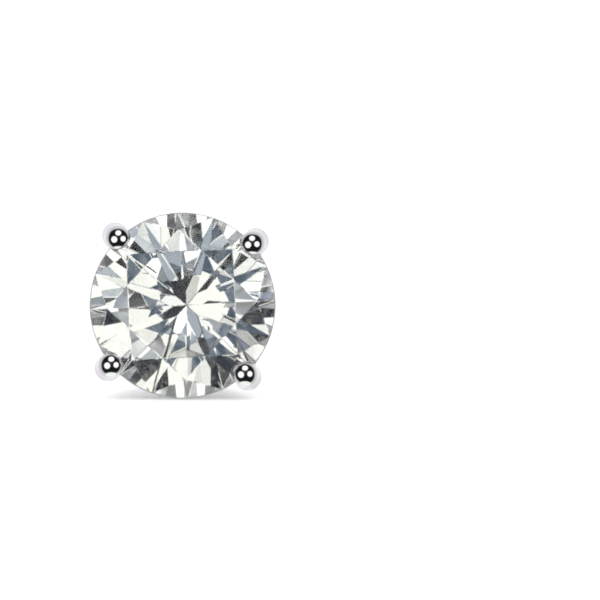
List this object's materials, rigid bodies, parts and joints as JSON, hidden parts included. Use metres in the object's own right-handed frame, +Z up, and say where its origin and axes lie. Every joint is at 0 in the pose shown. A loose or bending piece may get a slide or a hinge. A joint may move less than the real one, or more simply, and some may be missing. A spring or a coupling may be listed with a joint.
{
  "type": "diamond stud earring",
  "caption": "Stud earring: a round brilliant diamond held by prongs over an open basket, with a straight post and a butterfly friction back pushed onto it.",
  "frame": {"origin": "on the surface that the stud lies on, under the middle of its bounding box", "axes": "+Z up; the stone's table faces -Y and slightly up, and the post runs along +Y and slightly down; +X is to the right of someone who looks at the table"},
  "size_m": [0.0064, 0.0148, 0.0065],
  "materials": {
    "diamond": "polished, flat facets",
    "white_gold": "rhodium-plated white gold, high polish",
    "white_gold_back": "white gold strip, polished"
  },
  "bodies": {
    "root": {"diamond_stone": "diamond", "prong_setting": "white_gold", "friction_back": "white_gold_back"}
  },
  "joints": []
}
